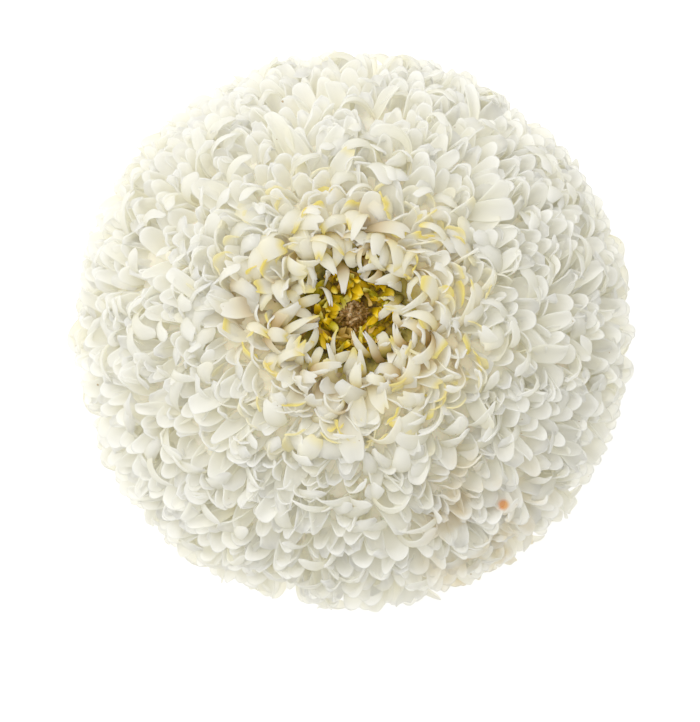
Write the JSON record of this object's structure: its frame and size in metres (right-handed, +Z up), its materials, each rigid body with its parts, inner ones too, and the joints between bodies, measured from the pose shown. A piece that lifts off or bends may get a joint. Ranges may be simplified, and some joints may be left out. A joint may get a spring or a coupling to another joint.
{
  "type": "double shasta daisy bloom",
  "caption": "Fully double white daisy bloom with a small golden eye and brown centre, picked with a short stub of stem and lying face up on its lowest florets.",
  "frame": {"origin": "on the surface that the bloom lies on, under the middle of the bloom", "axes": "+Z up out of the eye, along the stem; X and Y along the surface, with +Y towards the top of the picture"},
  "size_m": [0.0991, 0.0999, 0.0651],
  "materials": {
    "white_floret": "soft satin with fine lengthwise veins, cream at the roots",
    "golden_floret": "matt golden to olive, paler at the tips",
    "withered_disc": "dry and matt, brown",
    "green_bract": "satin green with pale papery edges",
    "green_stem": "satin, finely ridged, with a pale pith where it is cut"
  },
  "bodies": {
    "root": {"ray_florets": "white_floret", "golden_florets": "golden_floret", "disc_florets": "withered_disc", "involucre": "green_bract", "stem": "green_stem"}
  },
  "joints": []
}
